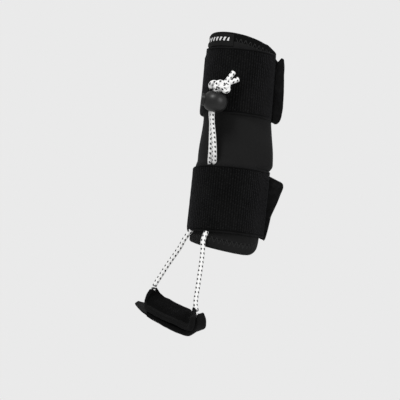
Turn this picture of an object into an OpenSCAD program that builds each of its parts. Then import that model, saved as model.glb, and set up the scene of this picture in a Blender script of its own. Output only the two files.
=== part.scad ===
// Wrap-around lower-leg orthosis with two straps, an elastic toe-up cord, a ball cord lock and a toe sling.
// Origin on the leg's axis, level with the lower strap's bottom edge. +Z runs up the leg, -Y is the toe side.
// Bearings are in degrees about Z, from 0 at the front (-Y), rising towards +X.

/* [Leg and sleeve] */
// Radius of the leg that the sleeve closes on
leg_r = 21.5; // [20:0.5:22]
// Thickness of the soft lining
lining_t = 1; // [0.6:0.1:1]
// Length of the lining along the leg
lining_h = 138; // [130:1:138]
// Height of the sewn hem at the top edge
top_hem = 7; // [4:0.5:9]
// Height of the sewn hem at the bottom edge
bottom_hem = 8; // [4:0.5:9]
// Bearing of the closing flap's free edge
flap_edge = 133.5; // [130:0.5:136]
// Height of the woven label
label_h = 8; // [5:0.5:9]

/* [Straps] */
// Width of the strap webbing
strap_w = 50; // [40:1:50]
// Height of the upper strap's bottom edge
upper_z = 86; // [80:1:88]
// Bearing where each strap's pinched tabs stand
tab_bearing = 133; // [130:0.5:136]
// Thickness of one layer of a tab
tab_t = 1.7; // [1.2:0.1:2]

/* [Cord and lock] */
// Diameter of the elastic cord
cord_d = 3.5; // [2.5:0.1:3.5]
// Radius of the cord lock's ball
ball_r = 9; // [8.6:0.1:9]
// Height of the ball between its flats
ball_h = 16; // [14:0.5:16]
// Radius of the lock's plunger
plunger_r = 4.6; // [4.3:0.1:4.8]
// How far the plunger can be pushed in
plunger_travel = 2.5; // [1.5:0.1:2.5]

/* [Toe sling] */
// Width of the sling's strip, from front to back
sling_w = 25; // [20:1:28]
// Thickness of the sling's upper layer
upper_layer_t = 3.6; // [2.8:0.1:3.6]
// Thickness of the sling's lower layer
lower_layer_t = 4.4; // [3.4:0.1:4.6]
// How far the sling rolls down towards its right end
sling_roll = 17.3; // [0:0.1:20]
// How far the sling's front edge tips down
sling_pitch = 20; // [10:1:24]

/* [Hidden] */
$fn = 64;

cord_r = cord_d / 2;
lining_r = leg_r + lining_t;
lining_z = -5;
far = 60;

// Sleeve edges: each lies in a sloping plane.
top_z = 142.1;
top_slope = 13;
bottom_z = -11.5;
bottom_slope = 10;
// Outer radius of the sleeve at a few heights, straight between them.
sleeve_profile = [[25.8, -20], [26, -1.5], [26.7, 0.5], [27.1, 50], [27.1, 75], [26, 86], [24.9, 137],
    [24.9, 150]];
flap_r = 24.4;
underlap_edge = 92;
closure_r = 23;
corner_r = 22;
corner_from = -12.9;
recess_r = 23;
recess_from = -26;
recess_to = 30;
exit_bearings = [-20, 16];

// Strap profiles, inner and outer radius at the bottom and at the top.
upper_band = [26.05, 27.9, 24.95, 27.2];
lower_band = [26.8, 28.4, 27.2, 29];
band_start = -62;
back_start = 135.4;
lap_from = 292;
lap_to = 313;
lap_t = 2;
tab_gap = 0.4;
upper_tab_root = 28.6;
lower_tab_root = 29.7;
// Tab outlines: distance from the axis, then height.
upper_tab_outline = [[30.6, 133.9], [33.6, 127.2], [34.8, 115], [35.4, 104.8], [34.8, 91.4], [33.6, 87.6],
    [31.9, 85.8], [30, 84.2]];
lower_tab_outline = [[32, 43.6], [39, 40.7], [41, 39.4], [41.6, 37.6], [37.9, 24.3], [34, 13.3], [32.7, 3.2],
    [31.8, 0.4], [30.6, -0.9]];

// The cord's route, from the lower strap's bottom edge up under the strap and on to the knot.
left_route = [[-9.3, -25.5, -1.4], [-8.1, -23.6, 2.5], [-7.2, -23.9, 8], [-4.5, -24.6, 17], [-1.9, -25, 27],
    [0.7, -25, 37], [2.9, -25.1, 46], [3.7, -25, 50], [4.7, -26.3, 53], [6.7, -28.5, 57], [7.4, -29.8, 63],
    [7.5, -30.7, 71], [8.1, -32.1, 78], [8.6, -34.3, 85.2], [10.2, -34.9, 93.6], [11.9, -35.4, 102.6]];
right_route = [[7.5, -26.2, -1.4], [7.6, -23.8, 2.5], [7.7, -23.7, 8], [8, -23.6, 17], [8, -23.7, 27],
    [7.9, -23.8, 37], [7.6, -24, 46], [7.4, -24, 50], [8.3, -25.3, 53], [10.3, -28, 57], [11, -30.2, 63],
    [11, -32.2, 71], [11, -34.2, 78], [11.8, -35.9, 84.5], [13.4, -36.4, 92.9], [15.1, -37, 101.9]];
// The two loose tails above the knot.
tail_routes = [[[19, -31.2, 108.9], [19.2, -29.8, 110.8], [19.5, -28.4, 112.8], [19.8, -27, 114.8],
    [20, -25.7, 116.4]], [[21, -29.3, 106.2], [21.4, -27.8, 107.4], [21.9, -26.2, 108.7],
    [22.4, -24.5, 110.2],
    [22.8, -23, 111.4]]];
// Lower strands, from the strap's bottom edge to the last stretch before the sling.
toe_left_route = [[-9.7, -26.3, -2.4], [-11.4, -28.2, -8], [-13.4, -30.4, -14.5], [-16, -32.7, -21],
    [-18.6, -35, -27], [-20.8, -37.3, -33], [-22.6, -39.4, -38.5]];
toe_right_route = [[7.6, -27, -2.4], [8.6, -28.3, -8], [10, -29.8, -14.5], [11.4, -31.6, -21.5],
    [12.9, -33.6, -29], [14.5, -35.7, -36.5], [15.9, -37.6, -43.5], [17.1, -39.4, -50], [17.9, -40.4, -53.5]];
toe_end_routes = [[[-22.8, -39.7, -39.3], [-24.1, -41.5, -43.3], [-24.4, -42.5, -45.7]],
    [[18.1, -40.6, -54.3], [19.2, -41.5, -57.6], [21, -41.7, -61.2]]];
knot_lobes = [[12.7, -37.3, 105.1, 3.6], [17.2, -35.2, 104.9, 4.1], [19.7, -31.5, 104.9, 3.9]];

// Where the ball sits on the two strands, and how it leans with them.
ball_at = [12.6, -34.85, 93.1];
ball_turn = [0, 11.5, -18.2];
plunger_spin = -117.8;
strand_in_ball = [[1.75, -1.7], [0.55, 1.7]];
strand_hole_r = cord_r + 0.35;
plunger_clear = 0.05;
plunger_end = -3.4;
bore_end = -7.6;
button_out = 1.5;
spring_r = 3;
spring_wire = 0.5;
spring_turns = 3;

// The sling is built flat in its own frame, X across the toes and Z up, then rolled and tipped.
sling_at = [0.3, -43, -55];
upper_line = [[-22, -8.2], [-16, -8.6], [-6, -8.6], [6, -7.6], [14, -6], [19, -3.5], [21.3, 0], [21.6, 4]];
lower_line = [[-18, -14.2], [-6, -14.4], [6, -14.2], [15, -13.4], [23, -11.9], [28.6, -9.4], [32, -5],
    [33, 0.8]];
tongue_line = [[-18.4, -14.1], [-22, -13.9], [-26, -12.7], [-29, -11.1], [-31.5, -9.1]];
patch_line = [[-16, -8.6], [-6, -8.6], [4, -7.8], [12, -6.5]];
tongue_t = 2.8;
patch_t = 0.5;
patch_w = 8;
groove_w = cord_d + 0.6;
groove_deep = 1.4;
sling_cord_route = [[-26.2, 0, -1.5], [-26.3, 0, -4], [-25.4, 0, -7], [-21.6, 0, -9.6], [-18, 0, -10.6],
    [-14, 0, -11.2], [-6, 0, -11.3], [2, 0, -10.8], [10, 0, -9.5], [17, 0, -7.9], [21, 0, -6.3],
    [23.2, 0, -4.6], [24.3, 0, -3]];

function unit(v) = v / norm(v);

// Direction of a route at one of its points.
function heading(route, i) = unit(route[min(i + 1, len(route) - 1)] - route[max(i - 1, 0)]);

// A ring of points around a route's point, square to the route. The route never runs along the vector across.
function ring(route, i, r, sides, across) =
    let (d = heading(route, i), a = unit(cross(d, across)), b = cross(d, a))
    [for (k = [0:sides - 1]) route[i] + r * cos(360 * k / sides) * a + r * sin(360 * k / sides) * b];

// A closed tube along a route.
module tube(route, r = cord_r, sides = 8, across = [0, 1, 0]) {
    n = len(route);
    points = [for (i = [0:n - 1]) each ring(route, i, r, sides, across)];
    walls = [for (i = [0:n - 2], k = [0:sides - 1])
        [i * sides + k, (i + 1) * sides + k, (i + 1) * sides + (k + 1) % sides, i * sides + (k + 1) % sides]];
    first_cap = [for (k = [0:sides - 1]) k];
    last_cap = [for (k = [sides - 1:-1:0]) (n - 1) * sides + k];
    polyhedron(points = points, faces = concat([first_cap], walls, [last_cap]));
}

module at_bearing(b) rotate([0, 0, b - 90]) children();

// Part of a turned ring, between two bearings.
module sector(from, to) at_bearing(from) rotate_extrude(angle = to - from) children();

module ring_profile(r1, r2, z1, z2) polygon([[r1, z1], [r2, z1], [r2, z2], [r1, z2]]);

// A slab that follows the sleeve's top edge, from drop below the edge upwards.
module top_slab(drop, h) translate([0, 0, top_z - drop]) rotate([-top_slope, 0, 0])
    translate([-far, -far, 0]) cube([2 * far, 2 * far, h * cos(top_slope)]);

// A slab that follows the sleeve's bottom edge, from lift above the edge downwards.
module bottom_slab(lift, h) translate([0, 0, bottom_z + lift]) rotate([0, bottom_slope, 0])
    translate([-far, -far, -h * cos(bottom_slope)]) cube([2 * far, 2 * far, h * cos(bottom_slope)]);

// The rounded lower corner that is missing from the closing flap, and what lies behind it.
module flap_corner() at_bearing(flap_edge - 17) translate([closure_r + 0.4, 0, -15.9])
    rotate([90, 0, 90]) linear_extrude(20) polygon(concat(
        [for (a = [0:6:66]) [corner_from + corner_r * sin(a), corner_r - corner_r * cos(a)]],
        [[14, 9], [23, 4.5], [23, -20], [corner_from, -20]]));

// The thinned stretch of foam where the cord's strands run under the lower strap.
module cord_recess() sector(recess_from, recess_to) ring_profile(recess_r, 2 * recess_r, -6, 57);

module sleeve_lining() color("dimgray") difference() {
    translate([0, 0, lining_z]) cylinder(r = lining_r, h = lining_h);
    translate([0, 0, lining_z - 1]) cylinder(r = leg_r, h = lining_h + 2);
    at_bearing(underlap_edge) translate([0, -0.3, -far]) cube([far, 0.6, 4 * far]);
}

module sleeve_wall() rotate_extrude() polygon(concat([[lining_r, -20]], sleeve_profile, [[lining_r, 150]]));

module neoprene_panel() color([0.12, 0.12, 0.13]) difference() {
    sleeve_wall();
    top_slab(top_hem, far);
    bottom_slab(bottom_hem, far);
    flap_corner();
    at_bearing(flap_edge) translate([closure_r + 0.4, 0, -far]) cube([far, 0.6, 4 * far]);
    at_bearing(underlap_edge) translate([0, -0.3, -far]) cube([closure_r + 1, 0.6, 4 * far]);
    sector(underlap_edge, flap_edge) ring_profile(closure_r, flap_r, -20, 150);
    cord_recess();
}

module top_hem_band() color([0.1, 0.1, 0.1]) difference() {
    intersection() {
        sleeve_wall();
        top_slab(top_hem - 0.05, top_hem - 0.05);
    }
    at_bearing(flap_edge) translate([closure_r + 0.4, 0, -far]) cube([far, 0.6, 4 * far]);
}

module bottom_hem_band() color([0.1, 0.1, 0.1]) difference() {
    intersection() {
        sleeve_wall();
        bottom_slab(bottom_hem - 0.05, bottom_hem - 0.05);
    }
    flap_corner();
    at_bearing(flap_edge) translate([closure_r + 0.4, 0, -far]) cube([far, 0.6, 4 * far]);
    cord_recess();
}

module closure_strip(r, t) sector(underlap_edge + 3, flap_edge - 3) ring_profile(r, r + t, 2, 128);

module closure_hook_strip() color([0.08, 0.08, 0.08]) closure_strip(closure_r + 0.75, 0.6);

module closure_loop_strip() color([0.16, 0.16, 0.16]) closure_strip(closure_r + 0.05, 0.6);

module label() color("black") intersection() {
    sector(-45, 30) ring_profile(25.05, 25.6, upper_z + strap_w + 0.3, 150);
    top_slab(1 + label_h, label_h);
}

// A strap's profile between its inner and outer radius.
module band_profile(band, z)
    polygon([[band[0], z], [band[1], z], [band[3], z + strap_w], [band[2], z + strap_w]]);

// The same for the lap that lies over it, from one distance above its face to another.
module lap_profile(band, z, from, to) polygon([[band[1] + from, z], [band[1] + to, z],
    [band[3] + to, z + strap_w], [band[3] + from, z + strap_w]]);

module strap_front(band, z) color([0.07, 0.07, 0.07])
    sector(band_start, tab_bearing - 0.8) band_profile(band, z);

// The back half, its lap over the front half, and the step that joins them.
module strap_back(band, z) color([0.08, 0.08, 0.08]) {
    sector(back_start + 2.6, band_start + 359) band_profile(band, z);
    sector(lap_from, lap_to) lap_profile(band, z, 0.1, lap_t);
    sector(lap_from + 1, band_start + 358) intersection() {
        lap_profile(band, z, -0.6, lap_t - 0.4);
        translate([0, z + 1]) square([far, strap_w - 2]);
    }
}

// One layer of a pinched tab, standing out from the strap at the tabs' bearing.
module tab_plate(outline, root, z, h, side, t)
    at_bearing(tab_bearing) translate([0, side + t, 0]) rotate([90, 0, 0]) linear_extrude(t)
        polygon(concat([[root, z]], [[root, z + h]], outline));

module tab_hook(outline, root, z, h, inset)
    at_bearing(tab_bearing) translate([0, tab_gap - 0.3, 0]) rotate([90, 0, 0]) linear_extrude(0.4)
        polygon(concat([[root + inset, z + 3], [root + inset, z + h - 3]], outline * 0.97
            + [for (p = outline) [0, 0.03 * (z + h / 2)]]));

module upper_strap_front() strap_front(upper_band, upper_z);
module upper_strap_back() strap_back(upper_band, upper_z);
module lower_strap_front() difference() {
    strap_front(lower_band, 0);
    for (b = exit_bearings) sector(b - 6, b + 6) ring_profile(recess_r, 2 * recess_r, -1, 2.6);
}
module lower_strap_back() strap_back(lower_band, 0);

module upper_front_tab() color([0.09, 0.09, 0.09])
    tab_plate(upper_tab_outline, upper_tab_root, upper_z, 48.5, -0.35 - tab_t, tab_t);
module upper_tab_hook() color([0.05, 0.05, 0.05])
    tab_hook(upper_tab_outline, upper_tab_root, upper_z, 48.5, 1);
module upper_back_tab() color([0.09, 0.09, 0.09])
    tab_plate(upper_tab_outline, upper_band[0] + 0.2, upper_z, 48.5, tab_gap, tab_t);

module lower_front_tab() color([0.09, 0.09, 0.09])
    tab_plate(lower_tab_outline, lower_tab_root, 0, 46.5, -0.35 - tab_t, tab_t);
module lower_tab_hook() color([0.05, 0.05, 0.05])
    tab_hook(lower_tab_outline, lower_tab_root, 0, 46.5, 1);
module lower_back_tab() color([0.09, 0.09, 0.09])
    tab_plate(lower_tab_outline, lower_band[2] + 0.1, 0, 46.5, tab_gap, tab_t);

module cord_strand_left() color("white") tube(left_route);
module cord_strand_right() color("white") tube(right_route);

module cord_knot() color("white") hull() for (lobe = knot_lobes)
    translate([lobe[0], lobe[1], lobe[2]]) sphere(lobe[3], $fn = 20);

module cord_tails() color("white") for (route = tail_routes) tube(route);

module in_ball() translate(ball_at) rotate(ball_turn) rotate([0, 0, plunger_spin]) children();

// The slot through the ball that the two strands share.
module strand_slot(r, h) {
    a = strand_in_ball[0];
    b = strand_in_ball[1];
    for (p = strand_in_ball) translate([p[0], p[1], -h / 2]) cylinder(r = r, h = h);
    translate([a[0], a[1], -h / 2]) rotate([0, 0, atan2(b[1] - a[1], b[0] - a[0])])
        translate([0, -r, 0]) cube([norm(b - a), 2 * r, h]);
}

module lock_body() color([0.15, 0.15, 0.16]) in_ball() difference() {
    intersection() {
        sphere(ball_r);
        translate([-far, -far, -ball_h / 2]) cube([2 * far, 2 * far, ball_h]);
    }
    strand_slot(strand_hole_r, 2 * ball_r);
    translate([bore_end, 0, 0]) rotate([0, 90, 0]) cylinder(r = plunger_r + plunger_clear, h = 2 * ball_r);
}

module lock_plunger() color([0.1, 0.1, 0.1]) in_ball() difference() {
    translate([plunger_end, 0, 0]) rotate([0, 90, 0])
        cylinder(r = plunger_r, h = ball_r + button_out - plunger_end);
    translate([-1.5, -3.85, -ball_r]) cube([5.3 + plunger_travel, 7.7, 2 * ball_r]);
}

module lock_spring() color("silver") in_ball() {
    length = plunger_end - bore_end - spring_wire - 0.2;
    steps = 12 * spring_turns;
    tube([for (i = [0:steps]) [bore_end + 0.1 + spring_wire / 2 + length * i / steps,
        spring_r * cos(360 * spring_turns * i / steps), spring_r * sin(360 * spring_turns * i / steps)]],
        spring_wire / 2, 6, [1, 0, 0]);
}

module toe_cord_left() color("white") tube(toe_left_route);
module toe_cord_right() color("white") tube(toe_right_route);
module toe_cord_ends() color("white") for (route = toe_end_routes) tube(route);

module in_sling() translate(sling_at) rotate([sling_pitch, sling_roll, 0]) children();

// Outline of a strip of even thickness along a line drawn in its side view.
function side_of(line, t) = [for (i = [0:len(line) - 1])
    let (d = heading(line, i)) line[i] + t * [-d[1], d[0]]];
module strip(line, t, w) rotate([90, 0, 0]) linear_extrude(w, center = true)
    polygon(concat(side_of(line, t / 2), [for (i = [len(line) - 1:-1:0]) side_of(line, -t / 2)[i]]));

// The groove along one face of a layer, where the cord runs: side is 1 for the upper face, -1 for the lower.
module groove(line, side, t)
    strip(side_of(line, side * (t - groove_deep + 0.1) / 2), groove_deep + 0.1, groove_w);

// What the rounded back corner at the sling's right end takes away, from u onwards.
module back_corner(u) translate([u, 0, -far]) linear_extrude(2 * far)
    polygon([[0, far], [0, 13], [5, 5.5], [12, 3], [far, 3], [far, far]]);

module sling_cord() color("white") in_sling() tube(sling_cord_route);

module sling_upper_layer() color([0.1, 0.1, 0.1]) in_sling() difference() {
    union() {
        strip(upper_line, upper_layer_t, sling_w);
        rotate([90, 0, 90]) translate([0, 0, -24]) linear_extrude(3)
            polygon([[-sling_w / 2, -9.8], [sling_w / 2, -9.8], [sling_w / 2, -8], [3, 1], [-3, 1],
                [-sling_w / 2, -8]]);
    }
    groove([for (i = [1:len(upper_line) - 2]) upper_line[i]], -1, upper_layer_t);
    translate([-25, -groove_w / 2, -12]) cube([9.5, groove_w, 4.6]);
    translate([-25, -groove_w / 2, -12]) cube([6, groove_w, 6.6]);
    translate([16, -3.5, -3.6]) cube([10, 10.5, 10]);
    back_corner(12);
}

module sling_lower_layer() color([0.09, 0.09, 0.09]) in_sling() difference() {
    strip(lower_line, lower_layer_t, sling_w);
    groove(concat([lower_line[0] - [2, 0]], [for (i = [1:len(lower_line) - 3]) lower_line[i]]), 1,
        lower_layer_t);
    back_corner(24);
}

module sling_tongue() color([0.11, 0.11, 0.11]) in_sling() intersection() {
    strip(tongue_line, tongue_t, sling_w);
    translate([-24.8, 0, -20]) {
        translate([0, -sling_w / 2 + 4, 0]) cube([far, sling_w - 8, 20]);
        translate([-7, -sling_w / 2 + 6, 0]) cube([far, sling_w - 12, 20]);
        for (y = [-1, 1]) translate([-2, y * (sling_w / 2 - 6), 0]) cylinder(r = 6, h = 20);
        translate([-2, -sling_w / 2, 0]) cube([far, sling_w, 20]);
    }
}

// A patch on each side of the cord, between the sling's layers.
module sling_patch(drop) in_sling() for (y = [-1, 1])
    translate([0, y * (groove_w / 2 + 0.1 + patch_w / 2), -drop]) strip(patch_line, patch_t, patch_w);

module sling_hook_patch() color([0.05, 0.05, 0.05]) sling_patch(upper_layer_t / 2 + patch_t / 2 + 0.25);
module sling_loop_patch() color([0.14, 0.14, 0.14]) sling_patch(upper_layer_t / 2 + 3 * patch_t / 2 + 0.3);

sleeve_lining();
neoprene_panel();
top_hem_band();
bottom_hem_band();
closure_hook_strip();
closure_loop_strip();
label();
upper_strap_front();
upper_strap_back();
upper_front_tab();
upper_tab_hook();
upper_back_tab();
lower_strap_front();
lower_strap_back();
lower_front_tab();
lower_tab_hook();
lower_back_tab();
cord_strand_left();
cord_strand_right();
cord_knot();
cord_tails();
lock_body();
lock_plunger();
lock_spring();
toe_cord_left();
toe_cord_right();
toe_cord_ends();
sling_cord();
sling_upper_layer();
sling_lower_layer();
sling_tongue();
sling_hook_patch();
sling_loop_patch();
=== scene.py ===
import math

import bmesh
import bpy
import numpy as np
from mathutils import Matrix, Vector, noise


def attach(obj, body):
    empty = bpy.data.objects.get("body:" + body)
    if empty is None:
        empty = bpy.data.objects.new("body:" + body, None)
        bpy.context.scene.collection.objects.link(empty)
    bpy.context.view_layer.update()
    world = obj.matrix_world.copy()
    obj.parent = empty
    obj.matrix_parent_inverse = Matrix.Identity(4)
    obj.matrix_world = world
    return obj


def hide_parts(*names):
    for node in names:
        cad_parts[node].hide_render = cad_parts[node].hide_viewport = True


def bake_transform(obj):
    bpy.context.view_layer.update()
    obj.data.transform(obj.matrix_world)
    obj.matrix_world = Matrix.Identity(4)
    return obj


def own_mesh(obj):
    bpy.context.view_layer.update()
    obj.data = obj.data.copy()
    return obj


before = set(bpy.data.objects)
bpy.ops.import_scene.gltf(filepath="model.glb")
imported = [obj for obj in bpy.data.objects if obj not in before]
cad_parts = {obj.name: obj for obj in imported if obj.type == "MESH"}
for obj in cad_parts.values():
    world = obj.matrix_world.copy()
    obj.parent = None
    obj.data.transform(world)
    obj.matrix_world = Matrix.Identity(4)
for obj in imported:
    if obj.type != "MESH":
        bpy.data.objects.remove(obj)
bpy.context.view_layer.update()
K = 0.001  # lengths below are in millimetres, those in materials in metres

CORD = 3.5  # diameter of the elastic cord
WEB_WIDTH = 50  # both straps
WEB_THICK = 1.65

# ---------------------------------------------------------------- camera
S = np.array([0.70711, 0.70711, 0.0])  # picture's right, before the camera's roll
C = np.array([0.70711, -0.70711, 0.0])  # towards the camera
Z = np.array([0.0, 0.0, 1.0])
SENSOR = 36


def make_camera(distance=1400.0, elevation=-4.0, roll=5.55, span=296.4, s=-19.9, t=22.0):
    """A long lens aimed at the point s, t. span is the picture's width 20 mm in front of it."""
    e, r = math.radians(elevation), math.radians(roll)
    back = math.cos(e) * C + math.sin(e) * Z
    up0 = math.cos(e) * Z - math.sin(e) * C
    right = math.cos(r) * S + math.sin(r) * up0
    up = math.cos(r) * up0 - math.sin(r) * S
    cam = bpy.data.objects.new("camera", bpy.data.cameras.new("camera"))
    bpy.context.scene.collection.objects.link(cam)
    place = Matrix([list(v) for v in (right, up, back)]).transposed().to_4x4()
    place.translation = Vector((s * S + t * Z + distance * back) * K)
    cam.matrix_world = place
    cam.data.sensor_width = SENSOR
    cam.data.lens = SENSOR * (distance - 20) / span
    cam.data.clip_start, cam.data.clip_end = 0.05, 50
    bpy.context.scene.camera = cam


make_camera()

# ---------------------------------------------------------------- node helpers


class Nodes:
    """Short calls for building a material."""

    def __init__(self, name, rough, base, specular):
        self.mat = bpy.data.materials.new(name)
        self.mat.use_nodes = True
        self.tree = self.mat.node_tree
        self.shader = self.tree.nodes["Principled BSDF"]
        self.set(**{"Roughness": rough, "Base Color": (*base, 1), "Specular IOR Level": specular})
        self.uv_map = self.tree.nodes.new("ShaderNodeUVMap")
        self.uv_map.uv_map = "UVMap"
        self.obj = self.tree.nodes.new("ShaderNodeTexCoord").outputs["Object"]

    def set(self, **values):
        for key, value in values.items():
            self.shader.inputs[key].default_value = value

    def link(self, a, b):
        self.tree.links.new(a, b)

    def put(self, socket, value):
        if hasattr(value, "is_output"):
            self.link(value, socket)
        else:
            socket.default_value = value

    def math(self, op, a, b=0.0, c=None):
        n = self.tree.nodes.new("ShaderNodeMath")
        n.operation = op
        self.put(n.inputs[0], a)
        self.put(n.inputs[1], b)
        if c is not None:
            self.put(n.inputs[2], c)
        return n.outputs[0]

    def uv(self):
        """Distances along and across the piece, in metres."""
        n = self.tree.nodes.new("ShaderNodeSeparateXYZ")
        self.link(self.uv_map.outputs[0], n.inputs[0])
        return n.outputs[0], n.outputs[1]

    def noise(self, scale, detail=2.0, rough=0.5):
        n = self.tree.nodes.new("ShaderNodeTexNoise")
        n.inputs["Scale"].default_value = scale
        n.inputs["Detail"].default_value = detail
        n.inputs["Roughness"].default_value = rough
        self.link(self.obj, n.inputs["Vector"])
        return n.outputs["Fac"]

    def ramp(self, x, stops):
        n = self.tree.nodes.new("ShaderNodeValToRGB")
        self.link(x, n.inputs[0])
        e = n.color_ramp.elements
        while len(e) < len(stops):
            e.new(0.5)
        for item, (pos, col) in zip(e, stops):
            item.position = pos
            item.color = (*col, 1) if hasattr(col, "__len__") else (col, col, col, 1)
        return n.outputs[0]

    def mix(self, fac, a, b):
        n = self.tree.nodes.new("ShaderNodeMix")
        n.data_type = "RGBA"
        self.put(n.inputs[0], fac)
        for socket, value in ((n.inputs[6], a), (n.inputs[7], b)):
            self.put(socket, value if hasattr(value, "is_output") else (*value, 1))
        return n.outputs[2]

    def wave(self, x, period):
        """0 to 1 and back once in each period."""
        w = self.math("SINE", self.math("MULTIPLY", x, 2 * math.pi / period))
        return self.math("MULTIPLY_ADD", w, 0.5, 0.5)

    def drive(self, x, stops, socket="Base Color"):
        """Sets a socket by x through a ramp."""
        self.link(self.ramp(x, stops), self.shader.inputs[socket])

    def bump(self, height, depth, strength):
        n = self.tree.nodes.new("ShaderNodeBump")
        n.inputs["Strength"].default_value = strength
        n.inputs["Distance"].default_value = depth
        self.link(height, n.inputs["Height"])
        self.link(n.outputs[0], self.shader.inputs["Normal"])


# ---------------------------------------------------------------- mesh helpers


def unit(v):
    return v / np.maximum(np.linalg.norm(v, axis=-1, keepdims=True), 1e-9)


def add_mesh(name, verts, faces, uvs, mats, face_mats=None):
    """A smooth-shaded object from points and UVs in mm, with one UV to each point."""
    me = bpy.data.meshes.new(name)
    me.from_pydata([tuple(v) for v in np.asarray(verts) * K], [], faces)
    layer = me.uv_layers.new(name="UVMap")
    flat = np.concatenate([uvs[list(f)] for f in faces])
    layer.data.foreach_set("uv", (flat * K).ravel())
    me.polygons.foreach_set("use_smooth", [True] * len(faces))
    for m in mats:
        me.materials.append(m.mat)
    if face_mats is not None:
        me.polygons.foreach_set("material_index", face_mats)
    me.update()
    o = bpy.data.objects.new(name, me)
    bpy.context.scene.collection.objects.link(o)
    return o


def lengths(grid):
    """Distance along the grid in each direction, in mm."""
    du = np.zeros(grid.shape[:2])
    dv = np.zeros(grid.shape[:2])
    du[1:] = np.cumsum(np.linalg.norm(np.diff(grid, axis=0), axis=2), axis=0)
    dv[:, 1:] = np.cumsum(np.linalg.norm(np.diff(grid, axis=1), axis=2), axis=1)
    return du, dv


def solid(name, front, back, mats, uv, back_mat=0):
    """A closed skin round two grids of points of one size. Rows that meet at the rim are joined."""
    n, m = front.shape[:2]
    verts = np.concatenate([front.reshape(-1, 3), back.reshape(-1, 3)])
    uvs = np.tile(np.stack([uv[0].ravel(), uv[1].ravel()], axis=1), (2, 1))

    def f(i, j):
        return i * m + j

    def b(i, j):
        return n * m + i * m + j

    faces, kinds = [], []
    for i in range(n - 1):
        for j in range(m - 1):
            faces.append((f(i, j), f(i + 1, j), f(i + 1, j + 1), f(i, j + 1)))
            kinds.append(0)
            faces.append((b(i, j), b(i, j + 1), b(i + 1, j + 1), b(i + 1, j)))
            kinds.append(back_mat)
    for i in range(n - 1):
        faces.append((f(i, 0), b(i, 0), b(i + 1, 0), f(i + 1, 0)))
        faces.append((f(i, m - 1), f(i + 1, m - 1), b(i + 1, m - 1), b(i, m - 1)))
        kinds += [0, 0]
    for j in range(m - 1):
        faces.append((f(0, j), f(0, j + 1), b(0, j + 1), b(0, j)))
        faces.append((f(n - 1, j), b(n - 1, j), b(n - 1, j + 1), f(n - 1, j + 1)))
        kinds += [0, 0]
    o = add_mesh(name, verts, faces, uvs, mats, kinds)
    bm = bmesh.new()
    bm.from_mesh(o.data)
    bmesh.ops.remove_doubles(bm, verts=bm.verts, dist=2e-6)
    bmesh.ops.dissolve_degenerate(bm, edges=bm.edges, dist=1e-7)
    bmesh.ops.recalc_face_normals(bm, faces=bm.faces)
    bm.to_mesh(o.data)
    bm.free()
    return o


def normals(grid):
    return unit(np.cross(np.gradient(grid, axis=0), np.gradient(grid, axis=1)))


BACK_SEED = 5.0  # so a sheet's back isn't uneven in the same places as its front


def rough_up(grid, size, depth, seed=0.0):
    """Soft unevenness along the normal: size is its wavelength in mm."""
    nrm = normals(grid)
    out = grid.copy()
    for i in range(grid.shape[0]):
        for j in range(grid.shape[1]):
            p = grid[i, j] / size + seed
            out[i, j] += nrm[i, j] * depth * noise.noise(Vector(p))
    return out


def pad(name, mid, thick, mats, edge, uneven, back_mat=0, uv=None):
    """A sheet of some thickness with rounded edges about a grid of points in its middle.
    uneven is the wavelength and depth of its unevenness, and the back's depth where it differs."""
    du, dv = lengths(mid)
    ends = np.minimum(np.minimum(du, du[-1:] - du), np.minimum(dv, dv[:, -1:] - dv))
    q = np.clip(ends / edge, 0, 1)
    half = (np.asarray(thick) / 2) * np.sqrt(np.clip(1 - (1 - q) ** 2, 0, 1))
    nrm = normals(mid)
    front, back = mid + nrm * half[..., None], mid - nrm * half[..., None]
    front = rough_up(front, uneven[0], uneven[1])
    back = rough_up(back, uneven[0], uneven[-1], BACK_SEED)
    rim = half < 1e-6
    front[rim] = back[rim] = mid[rim]
    return solid(name, front, back, mats, uv or (du, dv), back_mat)


EDGE_STEPS = 6


def steps(a, b, n, edge):
    """n values from a to b, with closer ones over the distance edge at either end, for a rounded rim."""
    k = np.sign(b - a) * edge * (1 - np.cos(np.linspace(0, np.pi / 2, EDGE_STEPS)))
    return np.concatenate([a + k[:-1], np.linspace(a + k[-1], b - k[-1], n), (b - k[:-1])[::-1]])


def smooth_line(points, n):
    """n points on a smooth curve through the given ones."""
    p = np.asarray(points, float)
    t = np.concatenate([[0], np.cumsum(np.linalg.norm(np.diff(p, axis=0), axis=1))])
    tan = np.gradient(p, t, axis=0)
    x = np.linspace(0, t[-1], n)
    i = np.clip(np.searchsorted(t, x, side="right") - 1, 0, len(t) - 2)
    h = (t[i + 1] - t[i])[:, None]
    u = ((x - t[i]) / h[:, 0])[:, None]
    return (
        (2 * u**3 - 3 * u**2 + 1) * p[i]
        + (u**3 - 2 * u**2 + u) * h * tan[i]
        + (3 * u**2 - 2 * u**3) * p[i + 1]
        + (u**3 - u**2) * h * tan[i + 1]
    )


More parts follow.
